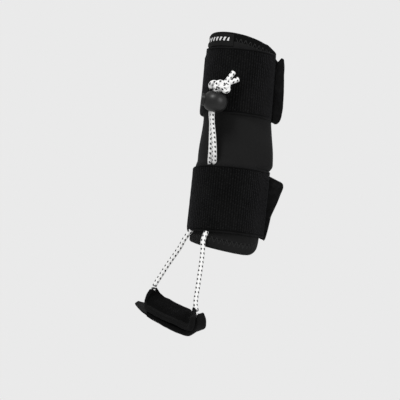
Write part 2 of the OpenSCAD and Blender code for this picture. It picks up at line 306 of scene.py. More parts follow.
def tube(name, line, r, mats, sides=20, spin=0.0, taper=0.0):
    """A round tube along a line of points, its rings kept from twisting. V runs along it and U round it.
    taper is the length over which its ends round off."""
    line = np.asarray(line, float)
    n = len(line)
    d = unit(np.gradient(line, axis=0))
    a = unit(np.cross(d[0], [0.3, 1, 0.2]))
    run = np.concatenate([[0], np.cumsum(np.linalg.norm(np.diff(line, axis=0), axis=1))])
    rings = []
    for i in range(n):
        a = unit(a - d[i] * np.dot(a, d[i]))
        b = np.cross(d[i], a)
        ang = np.linspace(0, 2 * np.pi, sides + 1) + spin
        k = r
        if taper:
            end = min(run[i], run[-1] - run[i]) / taper
            k = r * math.sqrt(max(1 - (1 - min(end, 1)) ** 2, 0.002))
        rings.append(line[i] + k * (np.cos(ang)[:, None] * a + np.sin(ang)[:, None] * b))
    verts = np.array(rings)[:, :-1].reshape(-1, 3)
    verts = np.concatenate([verts, [line[0], line[-1]]])
    faces, uv = [], []
    around = 2 * np.pi * r
    for i in range(n - 1):
        for k in range(sides):
            k2 = (k + 1) % sides
            low, high = i * sides, (i + 1) * sides
            faces.append((low + k, low + k2, high + k2, high + k))
            u0, u1 = around * k / sides, around * (k + 1) / sides
            uv += [(u0, run[i]), (u1, run[i]), (u1, run[i + 1]), (u0, run[i + 1])]
    for k in range(sides):
        k2 = (k + 1) % sides
        faces.append((n * sides, k2, k))
        faces.append((n * sides + 1, (n - 1) * sides + k, (n - 1) * sides + k2))
        uv += [(0, 0)] * 3 + [(0, run[-1])] * 3
    o = add_mesh(name, verts, faces, np.zeros((len(verts), 2)), mats)
    o.data.uv_layers[0].data.foreach_set("uv", (np.array(uv) * K).ravel())
    return o


def join(name, parts):
    bpy.ops.object.select_all(action="DESELECT")
    for o in parts:
        o.select_set(True)
    bpy.context.view_layer.objects.active = parts[0]
    bpy.ops.object.join()
    parts[0].name = parts[0].data.name = name
    return parts[0]


# ---------------------------------------------------------------- materials
SHEEN_TINT = (0.5, 0.5, 0.55, 1)


def braid_material():
    """White braided sheath with four columns of black flecks, of which two show from any side."""
    m = Nodes("braid", 0.62, (0.8, 0.8, 0.79), 0.35)
    u, v = m.uv()
    pitch, across = 0.0034, 2 * math.pi * 0.00175 / 4  # of the flecks
    a = m.math("MULTIPLY", u, 2 * math.pi / across)
    fleck_u = m.math("MULTIPLY_ADD", m.math("COSINE", a), 0.5, 0.5)
    lean = m.math("MULTIPLY", m.math("SINE", a), 0.35)
    b = m.math("ADD", m.math("MULTIPLY", v, 2 * math.pi / pitch), lean)
    fleck_v = m.math("MULTIPLY_ADD", m.math("COSINE", b), 0.5, 0.5)
    both = m.math("MULTIPLY", m.math("POWER", fleck_u, 2.2), m.math("POWER", fleck_v, 3.2))
    fleck = m.ramp(both, [(0.10, 0.0), (0.19, 1.0)])
    slant, strand = m.math("MULTIPLY", v, 0.75), 0.00092
    one = m.wave(m.math("ADD", u, slant), strand)
    two = m.wave(m.math("SUBTRACT", u, slant), strand)
    weave = m.math("MAXIMUM", one, two)
    # The hollows between the strands are painted darker than their crests: painted shade. Random dirt
    # patches are mixed into it below.
    shade = m.ramp(weave, [(0.45, (0.60, 0.60, 0.60)), (0.95, (0.90, 0.90, 0.89))])
    dirt = m.noise(420, 2)
    shade = m.mix(m.math("MULTIPLY", dirt, 0.25), shade, (0.70, 0.70, 0.69))
    m.link(m.mix(fleck, shade, (0.008, 0.008, 0.009)), m.shader.inputs["Base Color"])
    m.drive(fleck, [(0.0, 0.6), (1.0, 0.8)], "Roughness")
    m.bump(m.math("ADD", weave, m.math("MULTIPLY", fleck, -0.4)), 0.00016, 0.9)
    m.set(**{"Sheen Weight": 0.15, "Sheen Roughness": 0.5})
    return m


def knit_material(name, tone, lift, sheen, depth=0.00008, rough=0.82, gloss=0.16):
    """Fine black knit, with rows of tiny loops and a little lint. The loops' tops are painted lighter than
    the hollows between them: painted highlight and shade. lift brightens its highest loops.
    """
    m = Nodes(name, rough, (tone, tone, tone), gloss)
    u, v = m.uv()
    row = m.wave(v, 0.0011)
    loop = m.wave(m.math("ADD", u, m.math("MULTIPLY", row, 0.0003)), 0.0009)
    cloth = m.math("MULTIPLY", row, loop)
    grain = m.noise(2600, 2)
    cloud = m.noise(38, 3)
    h = m.math("ADD", cloth, m.math("MULTIPLY", grain, 1.2))
    # Colour: the loop height gives a painted highlight on the tops and painted shade in the hollows; grain
    # and cloud are random lint and tone.
    k = m.math("ADD", m.math("MULTIPLY", cloth, 0.5), grain)
    k = m.math("MULTIPLY_ADD", k, 0.5, m.math("MULTIPLY", cloud, 0.55))
    lo, hi = tone * 0.55, tone * 1.55 * lift
    m.drive(k, [(0.35, lo), (0.95, hi)])
    m.drive(grain, [(0.3, rough - 0.08), (0.7, min(rough + 0.1, 1))], "Roughness")
    m.bump(h, depth, 0.7)
    m.set(**{"Sheen Weight": sheen, "Sheen Roughness": 0.45, "Sheen Tint": SHEEN_TINT})
    return m


def webbing_material(name, tone):
    """Elastic loop webbing: columns of small loops, the tops of some painted bright (painted highlights),
    between smooth selvages with a lighter line along each."""
    m = Nodes(name, 0.88, (tone, tone, tone), 0.06)
    u, v = m.uv()
    column, row = 0.00185, 0.00105  # loops across and along
    wobble = m.math("MULTIPLY", m.noise(420, 2), 0.0007)
    rib = m.wave(m.math("ADD", u, wobble), column)
    half = m.math("MULTIPLY", m.math("ROUND", m.math("DIVIDE", u, column)), row / 2)
    loop = m.wave(m.math("ADD", m.math("ADD", v, half), wobble), row)
    from_edge = m.math("MINIMUM", v, m.math("SUBTRACT", WEB_WIDTH * K, v))
    inside = m.math("GREATER_THAN", from_edge, 0.0022)
    selvage = m.math("MULTIPLY", m.math("LESS_THAN", from_edge, 0.0011),
                     m.math("GREATER_THAN", from_edge, 0.0001))
    fuzz = m.noise(1700, 3, rough=0.6)
    patch = m.noise(520, 2)
    cloud = m.noise(60, 2)
    tuft = m.math("MULTIPLY", m.math("MULTIPLY", rib, m.math("POWER", loop, 1.3)), inside)
    # bright: loop tops painted bright in random patches, a painted highlight.
    bright = m.math("MULTIPLY", tuft, m.ramp(patch, [(0.36, 0.25), (0.66, 1.0)]))
    h = m.math("ADD", m.math("MULTIPLY", tuft, 3.0), m.math("MULTIPLY", fuzz, 1.3))
    k = m.math("MULTIPLY", m.math("ADD", fuzz, cloud), 0.26)
    k = m.math("ADD", m.math("MULTIPLY", bright, 0.72), k)
    k = m.math("ADD", k, m.math("MULTIPLY", selvage, 0.22))
    lo, hi = tone * 0.2, tone * 8.5
    m.drive(k, [(0.24, lo), (0.98, hi)])
    m.drive(fuzz, [(0.3, 0.78), (0.7, 0.95)], "Roughness")
    m.bump(h, 0.00026, 0.95)
    m.set(**{"Sheen Weight": 0.07, "Sheen Roughness": 0.4, "Sheen Tint": SHEEN_TINT})
    return m


def fuzzy_material(name, tone, sheen):
    """Brushed loop face: short matted pile with lighter tufts."""
    m = Nodes(name, 0.9, (tone, tone, tone), 0.08)
    fine, mid = m.noise(1500, 3, rough=0.65), m.noise(330, 3)
    tufts = m.ramp(m.noise(170, 2), [(0.52, 0.0), (0.68, 0.30)])
    k = m.math("ADD", m.math("MULTIPLY", fine, 0.55), m.math("MULTIPLY", mid, 0.45))
    k = m.math("ADD", k, m.math("MULTIPLY", tufts, fine))
    lo, hi = tone * 0.35, tone * 3.4
    m.drive(k, [(0.35, lo), (0.80, (hi, hi, hi * 1.03))])
    m.drive(fine, [(0.3, 0.82), (0.7, 0.97)], "Roughness")
    m.bump(m.math("ADD", fine, m.math("MULTIPLY", mid, 1.4)), 0.0003, 0.9)
    m.set(**{"Sheen Weight": sheen, "Sheen Roughness": 0.5, "Sheen Tint": SHEEN_TINT})
    return m


def thread_material(name, tone):
    """Twisted sewing thread."""
    m = Nodes(name, 0.6, (tone, tone, tone), 0.3)
    u, v = m.uv()
    ply = m.wave(m.math("ADD", u, v), 0.0005)
    # The plies' crests are painted lighter than the grooves between them: painted highlight and shade.
    m.drive(ply, [(0.2, tone * 0.5), (0.9, tone * 1.5)])
    m.drive(ply, [(0.0, 0.5), (1.0, 0.7)], "Roughness")
    m.bump(ply, 0.00006, 0.8)
    return m


def plastic_material():
    """Moulded black plastic, satin and very slightly grained."""
    m = Nodes("lock_plastic", 0.42, (0.006, 0.006, 0.006), 0.35)
    grain, cloud = m.noise(900, 3), m.noise(90, 3)
    m.drive(cloud, [(0.3, 0.004), (0.75, 0.007)])
    m.drive(cloud, [(0.3, 0.38), (0.7, 0.48)], "Roughness")
    m.bump(m.math("ADD", grain, cloud), 0.00004, 0.5)
    return m


def steel_material():
    """Drawn wire."""
    m = Nodes("spring_wire", 0.3, (0.55, 0.55, 0.55), 0.5)
    m.set(Metallic=1.0)
    drawn = m.noise(1200, 2)
    m.drive(drawn, [(0.3, 0.22), (0.7, 0.4)], "Roughness")
    m.drive(drawn, [(0.3, 0.45), (0.7, 0.62)])
    m.bump(drawn, 0.00002, 0.4)
    return m


def label_material():
    """Black woven ribbon with a plain row of pale dashes."""
    m = Nodes("label_weave", 0.7, (0.01, 0.01, 0.01), 0.12)
    u, v = m.uv()
    warp = m.math("MAXIMUM", m.wave(u, 0.0005), m.wave(v, 0.0004))
    lean = m.math("SUBTRACT", u, m.math("MULTIPLY", v, 0.45))
    step = m.math("FRACT", m.math("DIVIDE", lean, 0.0036))  # one dash in each 3.6 mm
    dash = m.math("LESS_THAN", m.math("ABSOLUTE", m.math("SUBTRACT", step, 0.5)), 0.22)
    row = m.math("LESS_THAN", m.math("ABSOLUTE", m.math("SUBTRACT", v, 0.0056)), 0.0014)
    ends = m.math("MULTIPLY", m.math("GREATER_THAN", u, 0.0020), m.math("LESS_THAN", u, 0.0300))
    ink = m.math("MULTIPLY", m.math("MULTIPLY", dash, row), ends)
    # The weave's crests are painted a little lighter than its hollows: painted highlight and shade.
    black = m.ramp(warp, [(0.3, 0.002), (1.0, 0.006)])
    m.link(m.mix(ink, black, (0.62, 0.62, 0.62)), m.shader.inputs["Base Color"])
    m.drive(warp, [(0.3, 0.6), (1.0, 0.8)], "Roughness")
    m.bump(m.math("ADD", warp, m.math("MULTIPLY", ink, 0.8)), 0.00008, 0.8)
    return m


BRAID = braid_material()
KNIT = knit_material("sleeve_knit", 0.0042, 1.0, 0.04)
HEM = knit_material("hem_knit", 0.0046, 1.0, 0.05)
# A darker copy of the hem knit for the top hem, though both hems are one tape: painted shade.
RIM = knit_material("rim_knit", 0.0014, 1.0, 0.04, 0.00012, 0.85, 0.08)
LINING = knit_material("lining_knit", 0.009, 1.2, 0.14, 0.00012, 0.9)
SLING = knit_material("sling_knit", 0.0036, 1.4, 0.03, 0.00014, 0.85, 0.07)
# Darker than the sling's outer knit, for its inner faces: partly the darker look of their hook and loop
# face, partly painted shade of a paw resting in the sling.
SLING_LINING = knit_material("sling_lining_knit", 0.0017, 1.6, 0.02, 0.00016, 0.88, 0.04)
WEB = webbing_material("strap_webbing", 0.0019)
WEB_BACK = fuzzy_material("tab_pile", 0.0021, 0.08)
LOOP = fuzzy_material("loop_pile", 0.0045, 0.15)
HOOK = knit_material("hook_tape", 0.004, 1.3, 0.06, 0.0002, 0.55)
THREAD = thread_material("thread", 0.011)
# Near black: painted shade for the needle holes.
HOLE = thread_material("needle_hole", 0.0008)
LOCK = plastic_material()
WIRE = steel_material()
LABEL = label_material()

# ---------------------------------------------------------------- cords
# The strands run up under the lower strap, out over the sleeve and through the lock to the knot.
LEFT = [
    (-8.35, -23.65, 0.9), (-8.2, -23.6, 2.6), (-7.2, -23.9, 8), (-4.5, -24.6, 17), (-1.9, -25, 27),
    (0.7, -25, 37), (2.8, -25.0, 44), (3.6, -25, 47.6), (4.5, -26.3, 50.6), (6.5, -28.4, 55.5),
    (7.4, -29.8, 62.5), (7.5, -30.7, 71), (8.1, -32.1, 78), (8.6, -34.3, 85.2), (10.2, -34.9, 93.6),
    (11.9, -35.4, 102.6)]
RIGHT = [
    (7.4, -23.75, 0.9), (7.45, -23.7, 2.6), (7.7, -23.7, 8), (8, -23.6, 17), (8, -23.7, 27),
    (7.9, -23.8, 37), (7.6, -24, 44), (7.4, -24, 47.6), (8.2, -25.3, 50.6), (10.1, -27.9, 55.5),
    (11, -30.1, 62.5), (11, -32.2, 71), (11, -34.2, 78), (11.8, -35.9, 84.5), (13.4, -36.4, 92.9),
    (15.1, -37, 101.9)]
# The toe cords start out of sight behind the strap's lower edge and end at the sling.
TOE_LEFT = [
    (-8.6, -24.35, -0.9), (-9.25, -25.4, -2.6), (-10.5, -27.2, -5.6), (-12.0, -29.2, -10),
    (-13.4, -30.4, -14.5), (-16, -32.7, -21), (-18.6, -35, -27), (-20.8, -37.3, -33),
    (-22.6, -39.4, -38.5), (-24.1, -41.5, -43.3), (-24.4, -42.5, -45.8)]
TOE_RIGHT = [
    (7.0, -24.4, -0.9), (7.3, -25.5, -2.6), (7.9, -27.6, -5.6), (8.6, -29.5, -10), (9.9, -30.4, -14.5),
    (11.3, -31.7, -21.5), (12.9, -33.6, -29), (14.5, -35.7, -36.5), (15.9, -37.6, -43.5),
    (17.1, -39.4, -50), (17.9, -40.4, -53.5), (19.2, -41.5, -57.6), (21.2, -41.8, -61.6)]
# In the sling's own frame, between its two layers.
SLING_RUN = [
    (-26.2, 0, -0.4), (-26.3, 0, -4), (-25.4, 0, -7), (-21.6, 0, -9.6), (-18, 0, -10.6), (-14, 0, -11.2),
    (-6, 0, -11.3), (2, 0, -10.8), (10, 0, -9.5), (17, 0, -7.9), (21, 0, -6.3), (23.2, 0, -4.6),
    (24.3, 0, -3), (23.9, 0.3, -1.6)]

roll, pitch = math.radians(17.3), math.radians(20)
SX = np.array([math.cos(roll), 0, -math.sin(roll)])
SY = np.array([math.sin(roll) * math.sin(pitch), math.cos(pitch), math.cos(roll) * math.sin(pitch)])
SZ = np.cross(SX, SY)
SAT = np.array([0.3, -43.0, -55.0])  # its origin


def sling_pt(u, v, w):
    """A point in the sling's frame: u across the toes, v back towards the leg, w up."""
    u, v, w = np.broadcast_arrays(u, v, w)
    return SAT + u[..., None] * SX + v[..., None] * SY + w[..., None] * SZ


def length_of(line):
    """In metres."""
    return float(np.linalg.norm(np.diff(line, axis=0), axis=1).sum()) * K


def pic(s, c, z):
    """A point by its distance to the picture's right, towards the camera and up."""
    return s * S + c * C + z * Z


# Knot: the two strands turn round each other in front of the ball's top, and their ends stand out to the
# right. It is pulled tight, so its turns are a little thinner than the cord.
KNOT_R = 1.72
KNOT_RINGS = 26


def knot_turn(name, centre, radius, start, sweep, tilt, rise, spin):
    """Part of a leaning ellipse in the picture's plane, that comes forwards by rise along the way."""
    a = np.radians(np.linspace(start, start + sweep, KNOT_RINGS))
    k = np.linspace(-0.5, 0.5, KNOT_RINGS)
    x, y = radius[0] * np.cos(a), radius[1] * np.sin(a)
    t = math.radians(tilt)
    line = [pic(centre[0] + p * math.cos(t) - q * math.sin(t), centre[1] + rise * w,
                centre[2] + p * math.sin(t) + q * math.cos(t)) for p, q, w in zip(x, y, k)]
    return tube(name, line, KNOT_R, [BRAID], 16, spin)


def knot_pass(name, points, spin):
    return tube(name, smooth_line([pic(*p) for p in points], KNOT_RINGS), CORD / 2, [BRAID], 16, spin)


knot = join("knot", [
    knot_turn("knot_a", (-17.6, 36.6, 104.4), (2.7, 2.3), 250, -300, -20, 4.5, 0.3),
    knot_turn("knot_b", (-13.6, 38.4, 104.5), (3.0, 2.5), 200, -330, 35, -4.0, 1.2),
    knot_turn("knot_c", (-9.4, 38.0, 103.9), (2.3, 3.2), 120, -310, 15, 4.0, 2.0),
    knot_pass("knot_d", [(-16.6, 33.4, 102.6), (-16.9, 35.4, 103.6), (-15.4, 38.0, 104.6),
                         (-12.8, 38.4, 105.6), (-10.0, 37.0, 107.2), (-8.6, 35.5, 108.9)], 0.7),
    knot_pass("knot_e", [(-15.5, 36.8, 101.9), (-14.6, 38.2, 103.2), (-12.0, 39.6, 103.6),
                         (-9.0, 39.2, 103.8), (-7.6, 37.6, 105.2), (-7.5, 35.8, 107.5)], 2.4)])
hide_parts("cord_knot")
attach(knot, "sleeve")

TAILS = [
    [(19, -31.2, 108.9), (19.2, -29.8, 110.8), (19.5, -28.4, 112.8), (19.8, -27, 114.8),
     (20, -25.7, 116.4)],
    [(20, -30.6, 107.5), (20.8, -28.8, 108.3), (21.6, -27, 109.3), (22.2, -25, 110.4),
     (22.8, -23.1, 111.5)]]
tails = join("knot_tails", [tube("tail_%d" % i, smooth_line(tail, 22), CORD / 2, [BRAID], 20, 0.4 + i, 0.5)
                            for i, tail in enumerate(TAILS)])
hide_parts("cord_tails")
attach(tails, "sleeve")

RINGS_PER_METRE = 900


def cord_piece(name, points, spin, body=None, blend=None):
    """One run of the cord. It rides on a body, or, when blend is given, stays in place with no body; the
    bodies and points in blend are not used.
    """
    line = smooth_line(points, int(12 + length_of(np.asarray(points)) * RINGS_PER_METRE))
    o = tube(name, line, CORD / 2, [BRAID], 20, spin)
    if blend:
        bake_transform(o)
    else:
        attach(o, body)
    return o


# Each spin turns the flecks so that two columns of them face the camera.
strand_left = cord_piece("strand_left", LEFT, 0.95, "sleeve")
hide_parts("cord_strand_left")
strand_right = cord_piece("strand_right", RIGHT, 1.45, "sleeve")
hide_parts("cord_strand_right")

swing = ("toe_cords", "toe_ends")
toe_left = cord_piece("toe_strand_left", TOE_LEFT, 1.5,
                      blend=(*swing, (-0.0100, -0.0265, -0.004), (-0.0228, -0.0397, -0.0393)))
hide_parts("toe_cord_left", "toe_cord_ends")
toe_right = cord_piece("toe_strand_right", TOE_RIGHT, 1.12,
                       blend=(*swing, (0.0078, -0.0270, -0.004), (0.0181, -0.0406, -0.0543)))
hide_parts("toe_cord_right")
sling_run = cord_piece("sling_cord_run", sling_pt(*np.array(SLING_RUN, float).T), 0.9, "sling")
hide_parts("sling_cord")

# ---------------------------------------------------------------- cord lock


SHARP = math.radians(32)  # a steeper edge isn't shaded as smooth


def cut(obj, *cutters):
    """Takes the cutters out of an object and removes them."""
    for c in cutters:
        mod = obj.modifiers.new("cut", "BOOLEAN")
        mod.object, mod.operation, mod.solver = c, "DIFFERENCE", "EXACT"
    dg = bpy.context.evaluated_depsgraph_get()
    me = bpy.data.meshes.new_from_object(obj.evaluated_get(dg))
    obj.modifiers.clear()
    obj.data = me
    for c in cutters:
        bpy.data.objects.remove(c)
    bm = bmesh.new()
    bm.from_mesh(me)
    for f in bm.faces:
        f.smooth = True
    for e in bm.edges:
        e.smooth = not (len(e.link_faces) == 2 and e.calc_face_angle(0) > SHARP)
    bm.to_mesh(me)
    bm.free()


def lathe(name, profile, sides):
    """A closed turned solid about local X from (x, r) points."""
    p = np.array(profile, float)
    ang = np.linspace(0, 2 * np.pi, sides, endpoint=False)
    verts = [(x, r * math.cos(a), r * math.sin(a)) for x, r in p for a in ang]
    faces = []
    for low in range(0, (len(p) - 1) * sides, sides):
        for k in range(sides):
            k2 = (k + 1) % sides
            faces.append((low + k, low + k2, low + sides + k2, low + sides + k))
    faces += [tuple(range(sides))[::-1], tuple((len(p) - 1) * sides + k for k in range(sides))]
    o = add_mesh(name, verts, faces, np.repeat(p, sides, axis=0), [LOCK])
    bm = bmesh.new()
    bm.from_mesh(o.data)
    bmesh.ops.recalc_face_normals(bm, faces=bm.faces)
    bm.to_mesh(o.data)
    bm.free()
    return o


# The lock's own frame: X is the plunger's way and Z is the strands' way. Lengths are in mm.
BALL = (Matrix.Translation(Vector((12.6, -34.85, 93.1)) * K) @ Matrix.Rotation(math.radians(-18.2), 4, "Z")
        @ Matrix.Rotation(math.radians(11.5), 4, "Y") @ Matrix.Rotation(math.radians(-117.8), 4, "Z"))
BORE_R, BORE_END = 4.65, -7.6
SLOT_R = 2.05  # leaves the strands 0.3 mm all round
SLOT_AT = [(1.75, -1.7), (1.35, -0.57), (0.95, 0.57), (0.55, 1.7)]


def ball_profile(radius=9, half_height=8, power=2.3):
    """Half the outline of the ball, a little squarer than an ellipse."""
    rows = []
    for a in np.linspace(-90, 90, 61):
        across, along = math.cos(math.radians(a)), math.sin(math.radians(a))
        r = (abs(across / radius) ** power + abs(along / half_height) ** power) ** (-1 / power)
        rows.append((r * along, r * max(across, 0.02)))
    return rows


ball = lathe("lock_ball", ball_profile(), 96)
ball.data.transform(Matrix.Rotation(math.radians(-90), 4, "Y"))
slot_cut = join("slot_cut", [
    tube("slot_%d" % i, [(x, y, -12), (x, y, 0), (x, y, 12)], SLOT_R, [LOCK], 32)
    for i, (x, y) in enumerate(SLOT_AT)])
bore_cut = lathe("bore_cut", [(BORE_END, BORE_R), (8.5, BORE_R), (8.9, 5.2), (12, 5.2)], 64)
mod = slot_cut.modifiers.new("one", "REMESH")
mod.mode, mod.voxel_size = "VOXEL", 0.0003
whole = slot_cut.evaluated_get(bpy.context.evaluated_depsgraph_get())
slot_cut.data = bpy.data.meshes.new_from_object(whole)
slot_cut.modifiers.clear()
cut(ball, bore_cut, slot_cut)
BUTTON = [(-3.4, 3.9), (-3.4, 4.3), (-3.1, 4.6), (9.2, 4.6), (9.9, 4.45), (10.35, 4.0), (10.5, 3.2),
          (10.3, 2.0), (10.2, 0.05)]
plunger = lathe("lock_button", BUTTON, 72)
# The eye through the plunger, for both strands.
eye = bpy.data.objects.new("eye", bpy.data.meshes.new("eye"))
bm = bmesh.new()
bmesh.ops.create_cube(bm, size=1.0)
bmesh.ops.scale(bm, vec=(7.8 * K, 7.7 * K, 18 * K), verts=bm.verts)
bmesh.ops.translate(bm, vec=(2.4 * K, 0, 0), verts=bm.verts)
bm.to_mesh(eye.data)
bm.free()
bpy.context.scene.collection.objects.link(eye)
cut(plunger, eye)
for o, node, body in ((ball, "lock_body", "lock"), (plunger, "lock_plunger", "plunger")):
    o.data.transform(BALL)
    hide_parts(node)
    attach(o, body)
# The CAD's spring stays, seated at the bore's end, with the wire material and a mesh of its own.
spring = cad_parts["lock_spring"]
spring.data.materials.clear()
spring.data.materials.append(WIRE.mat)
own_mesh(spring)

# ---------------------------------------------------------------- sleeve
# Bearings are degrees from the toe side (-Y) towards +X, and the sleeve's outer flap ends at FLAP.
FLAP = 133.5
SLIM_SIDE = -55  # the leg is slimmer on this side
STITCH = 8.5  # degrees to each zigzag
FOAM = 2.7
SLEEVE_IN = 22.5
UNDER_OUT, FLAP_IN = 23.3, 24.35  # faces of the layer under the flap and of the flap itself
THINNEST = 0.6
# Outer radius by height, under the straps and the label.
PROFILE_Z = [-20, -1.5, 0.5, 50, 75, 86, 137, 150]
PROFILE_R = [25.6, 25.9, 26.5, 26.9, 26.9, 25.8, 24.75, 24.8]
SLIM_AT = [-20, 0, 50, 60, 80, 86, 105, 136, 150]
SLIM_BY = [1.2, 2.3, 3.1, 0, 0, 2.9, 2.7, 1.7, 1.5]
FLAP_CORNER = 22  # radius of the flap's lower corner
MM_PER_DEGREE = 0.454
# The under layer's lower edge towards its hidden end: bearings plus a turn, and heights.
UNDER_EDGE = [133.5, 147, 166, 180], [-3.0, -7.5, -11.4, -11.5]


def ring_pt(phi, r, z):
    phi, r, z = np.broadcast_arrays(phi, r, z)
    a = np.radians(phi)
    return np.stack([r * np.sin(a), -r * np.cos(a), z], axis=-1)


def smoothstep(x, a, b):
    t = np.clip((np.asarray(x, float) - a) / (b - a), 0, 1)
    return t * t * (3 - 2 * t)


def hump(x, width):
    """A bell curve."""
    return np.exp(-((x / width) ** 2))


def turn_from(phi, bearing):
    """Signed angle from a bearing, within half a turn."""
    return np.mod(np.asarray(phi, float) - bearing + 180, 360) - 180


def top_z(phi):
    return 142.1 + 5.75 * np.cos(np.radians(phi))


def bottom_z(phi):
    """A sloping line. The flap's lower corner is rounded, and the under layer's edge rises at its end."""
    p = np.mod(np.asarray(phi, float) + 226.49, 360) - 226.49
    z = -12.4 - 4.55 * np.sin(np.radians(p))
    y = np.clip((p - 88) * MM_PER_DEGREE, 0, 20.6)
    corner = -16.85 + FLAP_CORNER - np.sqrt(FLAP_CORNER**2 - y**2)
    z = np.where(p > 88, np.maximum(z, corner), z)
    return np.where(p < -180, np.interp(p + 360, *UNDER_EDGE), z)


def zigzag_height(phi, low):
    """Height of the zigzag seam along the bottom or the top hem."""
    tri = 2 * np.abs(np.mod(np.asarray(phi, float) / STITCH, 1) - 0.5) - 0.5
    return bottom_z(phi) + 6.6 + 4.6 * tri if low else top_z(phi) - 5.6 + 4.2 * tri


def squeeze(phi, z):
    """How much slimmer the leg is towards SLIM_SIDE. It fades out sooner towards the cords."""
    turn = turn_from(phi, SLIM_SIDE)
    return np.interp(z, SLIM_AT, SLIM_BY) * hump(turn, np.where(turn > 0, 19, 42))


def bulge(phi):
    """How far the lower strap stands off where it meets the tab."""
    return 2.1 * hump(FLAP + 2 - phi, 17) * (phi < FLAP + 1)


def wall(phi, z):
    """Inner and outer radius of the sleeve."""
    out = np.interp(z, PROFILE_Z, PROFILE_R)
    # Between the straps it leans to one side, with soft waves, and lifts towards the flap's edge.
    waist = smoothstep(z, 46.5, 52.5) * (1 - smoothstep(z, 83, 88))
    lean = 25.6 + 1.3 * np.cos(np.radians(phi - 135)) - 0.035 * (z - 55) + 0.35 * np.sin(z / 6.5 + phi / 30)
    lift = (5.2 - 0.085 * (z - 53)) * hump(FLAP - phi, 24) * (phi < FLAP + 1)
    out = (out - squeeze(phi, z)) * (1 - waist) + (lean + lift) * waist
    out = out + bulge(phi) * smoothstep(z, 22, 40) * (1 - waist)
    # The bottom edge flares near the flap, and each seam draws the face in.
    out = out + 0.7 * (1 - smoothstep(z, -3, 0.5)) * hump(FLAP - 8 - phi, 30)
    for low in (True, False):
        across = (z - zigzag_height(phi, low)) * 0.37
        out = out - 0.28 * hump(across, 0.5)
    # One layer under the flap, the flap over it.
    over = smoothstep(phi, 90, 95)
    inner = SLEEVE_IN * (1 - over) + np.maximum(FLAP_IN, out - FOAM) * over
    full = smoothstep(phi, FLAP - 362.5, FLAP - 359)
    out = UNDER_OUT * (1 - full) + out * full
    return inner, np.maximum(out, inner + THINNEST)


def wall_pad(name, low, high, v, mats, proud, edge, uneven, back_mat=0):
    """A band of the sleeve between two edges, proud of the wall on both sides."""
    grid_phi = np.repeat(AROUND[:, None], len(v), axis=1)
    grid_z = low(grid_phi) * (1 - v) + high(grid_phi) * v
    inner, out = wall(grid_phi, grid_z)
    mid = ring_pt(grid_phi, (inner + out) / 2, grid_z)
    return pad(name, mid, out - inner + 2 * proud, mats, edge, uneven, back_mat)


HEM_LOW, HEM_TOP = 8.0, 7.0
AROUND = steps(FLAP - 401.5, FLAP, 300, 1.2)  # a full turn and the overlap
TUCK = 1  # how far the panel goes under each hem
hem_rows = steps(0, 1, 12, 0.1)
panel = wall_pad("sleeve_panel", lambda p: bottom_z(p) + HEM_LOW - TUCK,
                 lambda p: top_z(p) - HEM_TOP + TUCK,
                 steps(0, 1, 110, 0.012), [KNIT, LINING], 0.0, 1.3, (11, 0.14), 1)
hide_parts("neoprene_panel")
hem_low = wall_pad("hem_bottom", bottom_z, lambda p: bottom_z(p) + HEM_LOW, hem_rows, [HEM], 0.16, 1.5,
                   (7, 0.12))
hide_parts("bottom_hem_band")
hem_top = wall_pad("hem_top", lambda p: top_z(p) - HEM_TOP, top_z, hem_rows, [RIM], 0.14, 1.6, (7, 0.10))
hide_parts("top_hem_band")
phi_in = steps(-267.6, 91.6, 200, 0.8)
grid_phi, grid_z = np.meshgrid(phi_in, steps(-5, 133, 60, 0.6), indexing="ij")
lining = pad("sleeve_lining_cloth", ring_pt(grid_phi, 22.0, grid_z), 0.95, [LINING], 0.5, (8, 0.05))
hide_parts("sleeve_lining")
for o, slot in ((panel, "foam_fabric"), (hem_low, "hem_tape"), (hem_top, "hem_tape"),
                (lining, "foam_fabric")):
    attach(o, "sleeve")


def on_wall(phi, z, lift):
    return ring_pt(phi, wall(phi, z)[1] + lift, z)


def corners(a, b):
    """Bearings of the zigzag's corners between two bearings."""
    return np.arange(math.ceil(a / STITCH * 2), b / STITCH * 2) / 2 * STITCH


def zigzag(name, a, b, low):
    """Zigzag stitches on the sleeve's face, each a short raised thread that dips at its needle holes."""
    turns = corners(a, b)
    fine = []
    for p, q in zip(turns[:-1], turns[1:]):
        for k in (0, 0.1, 0.3, 0.5, 0.7, 0.9):
            phi = p * (1 - k) + q * k
            z = zigzag_height(p, low) * (1 - k) + zigzag_height(q, low) * k
            fine.append(on_wall(phi, z, 0.20 * math.sin(math.pi * k) - (0.45 if k == 0 else 0.0)))
    return tube(name, fine, 0.22, [THREAD], 6)


def needle_holes(name, a, b, low):
    """A dark dimple at each corner of the zigzag. Its near-black colour is painted shade of the needle
    hole.
    """
    dots = []
    for phi in corners(a, b):
        at = on_wall(phi, zigzag_height(phi, low), 0.0)
        out = unit(at * [1, 1, 0])
        dots.append(tube("dot", [at - out * 0.7, at - out * 0.2, at + out * 0.05], 0.42, [HOLE], 10))
    return join(name, dots)


stitch = join("sleeve_stitching", [
    zigzag("stitch_low", -62, 130, True), zigzag("stitch_low_back", 160, 315, True),
    zigzag("stitch_top", 34, 131, False), zigzag("stitch_top_back", 137, 312, False),
    needle_holes("holes_low", -62, 130, True), needle_holes("holes_top", 34, 131, False)])
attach(stitch, "sleeve")

# Closure strips between the flap and the layer under it.
for name, node, r, mat, slot in (("closure_loop_tape", "closure_loop_strip", 23.35, LOOP, "loop_fabric"),
                                 ("closure_hook_tape", "closure_hook_strip", 24.05, HOOK, "hook_fabric")):
    grid_phi, grid_z = np.meshgrid(steps(95, 130.5, 30, 1.0), steps(2, 128, 60, 1.0), indexing="ij")
    o = pad(name, ring_pt(grid_phi, r, grid_z), 0.6, [mat], 0.6, (3, 0.04))
    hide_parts(node)
    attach(o, "sleeve")

